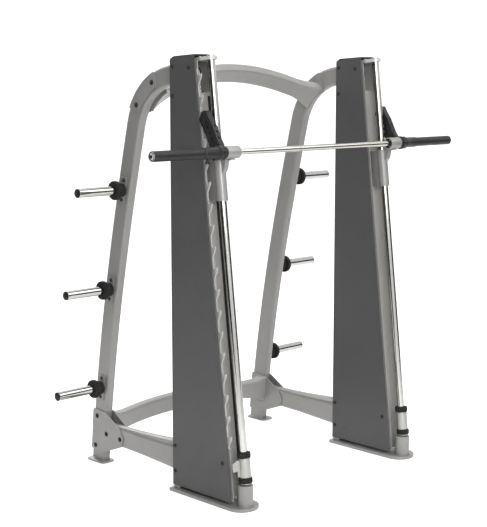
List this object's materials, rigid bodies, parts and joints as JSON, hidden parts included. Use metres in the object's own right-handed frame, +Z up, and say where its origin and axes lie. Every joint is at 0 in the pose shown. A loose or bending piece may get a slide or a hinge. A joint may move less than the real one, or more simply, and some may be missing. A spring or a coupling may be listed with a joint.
{
  "type": "smith machine",
  "caption": "Smith machine with a guided bar on leaning rods, hook racks, dark side covers and a bent-tube rear frame with plate horns.",
  "frame": {"origin": "on the floor, under the centre of the whole machine's bounding box", "axes": "+Z up, +X along the bar to the machine's right, -Y towards the lifter's side at the front"},
  "size_m": [2.234, 1.2824, 2.2145],
  "materials": {
    "silver_paint": "satin metallic silver powder coat",
    "dark_paint": "satin charcoal powder coat",
    "chrome": "polished hard chrome",
    "bright_steel": "fine turned steel",
    "black_steel": "satin black coat",
    "rubber": "dull black rubber",
    "cast_iron": "raw cast",
    "nylon": "moulded black nylon"
  },
  "bodies": {
    "frame": {"base_plate_left": "silver_paint", "rear_post_left": "silver_paint", "front_channel_left": "silver_paint", "hook_rack_left": "silver_paint", "outer_cover_left": "dark_paint", "inner_cover_left": "dark_paint", "top_cap_left": "nylon", "guide_rod_left": "chrome", "upright_left": "silver_paint", "side_tube_left": "silver_paint", "lower_joint_plate_left": "silver_paint", "upper_joint_plate_left": "silver_paint", "horn_upper_left": "chrome", "horn_middle_left": "chrome", "horn_lower_left": "chrome", "bumper_upper_left": "rubber", "bumper_middle_left": "rubber", "bumper_lower_left": "rubber", "cable_front_left": "bright_steel", "cable_rear_left": "bright_steel", "base_plate_right": "silver_paint", "rear_post_right": "silver_paint", "front_channel_right": "silver_paint", "hook_rack_right": "silver_paint", "outer_cover_right": "dark_paint", "inner_cover_right": "dark_paint", "top_cap_right": "nylon", "guide_rod_right": "chrome", "upright_right": "silver_paint", "side_tube_right": "silver_paint", "lower_joint_plate_right": "silver_paint", "upper_joint_plate_right": "silver_paint", "horn_upper_right": "chrome", "horn_middle_right": "chrome", "horn_lower_right": "chrome", "bumper_upper_right": "rubber", "bumper_middle_right": "rubber", "bumper_lower_right": "rubber", "cable_front_right": "bright_steel", "cable_rear_right": "bright_steel", "top_crossmember": "silver_paint", "lower_crossmember": "silver_paint"},
    "carriage": {"slide_housing_left": "silver_paint", "slide_housing_right": "silver_paint", "bearing_block_left": "silver_paint", "bearing_block_right": "silver_paint"},
    "bar": {"bar_shaft": "chrome", "hook_arm_left": "black_steel", "hook_arm_right": "black_steel", "weight_sleeve_left": "black_steel", "weight_sleeve_right": "black_steel"},
    "stop_slide_left": {"stop_bumper_left": "rubber"},
    "stop_hook_left": {"stop_sleeve_left": "bright_steel"},
    "balance_left": {"counterweight_left": "cast_iron"},
    "sheave_left": {"pulley_left": "nylon"},
    "stop_slide_right": {"stop_bumper_right": "rubber"},
    "stop_hook_right": {"stop_sleeve_right": "bright_steel"},
    "balance_right": {"counterweight_right": "cast_iron"},
    "sheave_right": {"pulley_right": "nylon"}
  },
  "joints": [
    {"name": "carriage_slide", "type": "slide", "parent": "frame", "child": "carriage", "axis": [0, 0.1158, 0.9933], "range_m": [-0.8336, 0.2084], "deforming": ["cable_front_left", "cable_front_right"]},
    {"name": "bar_turn", "type": "hinge", "parent": "carriage", "child": "bar", "pos_m": [0, -0.48221, 1.74799], "axis": [1, 0, 0], "range_deg": [-7.5, 35]},
    {"name": "stop_slide_left_up", "type": "slide", "parent": "frame", "child": "stop_slide_left", "axis": [0, 0.1158, 0.9933], "range_m": [0, 0.3784]},
    {"name": "stop_hook_left_turn", "type": "hinge", "parent": "stop_slide_left", "child": "stop_hook_left", "pos_m": [-0.617, -0.58379, 0.15997], "axis": [0, 0.1158, 0.9933], "range_deg": [-25, 70]},
    {"name": "balance_left_slide", "type": "slide", "parent": "frame", "child": "balance_left", "axis": [0, 0, 1], "range_m": [-0.2089, 0.8341], "deforming": ["cable_rear_left"]},
    {"name": "sheave_left_turn", "type": "hinge", "parent": "frame", "child": "sheave_left", "pos_m": [-0.617, -0.2182, 2.115], "axis": [1, 0, 0], "range_deg": [-266, 1062]},
    {"name": "stop_slide_right_up", "type": "slide", "parent": "frame", "child": "stop_slide_right", "axis": [0, 0.1158, 0.9933], "range_m": [0, 0.3784]},
    {"name": "stop_hook_right_turn", "type": "hinge", "parent": "stop_slide_right", "child": "stop_hook_right", "pos_m": [0.617, -0.58379, 0.15997], "axis": [0, 0.1158, 0.9933], "range_deg": [-70, 25]},
    {"name": "balance_right_slide", "type": "slide", "parent": "frame", "child": "balance_right", "axis": [0, 0, 1], "range_m": [-0.2089, 0.8341], "deforming": ["cable_rear_right"]},
    {"name": "sheave_right_turn", "type": "hinge", "parent": "frame", "child": "sheave_right", "pos_m": [0.617, -0.2182, 2.115], "axis": [1, 0, 0], "range_deg": [-266, 1062]}
  ],
  "couplings": [
    {"joint": "balance_left_slide", "follows": "carriage_slide", "ratio": -1},
    {"joint": "sheave_left_turn", "follows": "carriage_slide", "rad_per_m": -22.222},
    {"joint": "balance_right_slide", "follows": "carriage_slide", "ratio": -1},
    {"joint": "sheave_right_turn", "follows": "carriage_slide", "rad_per_m": -22.222}
  ]
}
